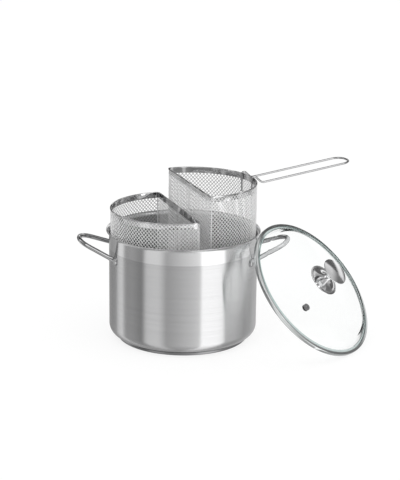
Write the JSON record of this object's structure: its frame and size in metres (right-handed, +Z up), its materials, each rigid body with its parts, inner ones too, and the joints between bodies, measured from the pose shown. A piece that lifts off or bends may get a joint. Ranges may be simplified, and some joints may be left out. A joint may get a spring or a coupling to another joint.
{
  "type": "pasta pot with strainer inserts",
  "caption": "Steel stockpot with rod handles, half-round mesh strainer inserts that lift out, a detachable wire handle and a leaning glass lid with knob.",
  "frame": {"origin": "on the pot's axis, where its base stands on the table", "axes": "+Z up along the pot's axis, +X towards the right-hand pot handle and the leaning lid, -Y towards the viewer of the picture"},
  "size_m": [0.4781, 0.2942, 0.2716],
  "materials": {
    "satin_steel": "satin, brushed round the body",
    "polished_steel": "polished",
    "mesh_steel": "woven wire mesh",
    "wire_steel": "bright drawn wire",
    "base_aluminium": "matt, sealed in the base",
    "lid_glass": "clear tempered glass"
  },
  "bodies": {
    "pot": {"pot_shell": "satin_steel", "base_core": "base_aluminium", "base_cap": "satin_steel", "left_handle": "polished_steel", "right_handle": "polished_steel"},
    "left_insert": {"left_curved_mesh": "mesh_steel", "left_flat_mesh": "mesh_steel", "left_floor_mesh": "mesh_steel", "left_rim_strip": "polished_steel", "left_bottom_hoop": "wire_steel", "left_corner_wires": "wire_steel", "left_mesh_seam": "mesh_steel"},
    "right_insert": {"right_curved_mesh": "mesh_steel", "right_flat_mesh": "mesh_steel", "right_floor_mesh": "mesh_steel", "right_rim_strip": "polished_steel", "right_bottom_hoop": "wire_steel", "right_corner_wires": "wire_steel", "right_mesh_seam": "mesh_steel"},
    "wire_handle": {"basket_handle": "polished_steel"},
    "lid": {"lid_glass": "lid_glass", "lid_band": "polished_steel", "knob_foot": "polished_steel", "knob_neck": "polished_steel", "knob_cap": "polished_steel", "knob_screw": "polished_steel", "knob_washer": "polished_steel", "vent_eyelet": "polished_steel"}
  },
  "joints": [
    {"name": "left_insert_lift", "type": "slide", "parent": "pot", "child": "left_insert", "axis": [0, 0, 1], "range_m": [-0.04, 0.13]},
    {"name": "right_insert_lift", "type": "slide", "parent": "pot", "child": "right_insert", "axis": [0, 0, 1], "range_m": [-0.07, 0.09]},
    {"name": "wire_handle_lift", "type": "slide", "parent": "right_insert", "child": "wire_handle", "axis": [0, 0, 1], "range_m": [0, 0.05]},
    {"name": "lid_lift", "type": "slide", "parent": "pot", "child": "lid", "axis": [0.6255, -0.4077, 0.6652], "range_m": [0, 0.2]}
  ]
}
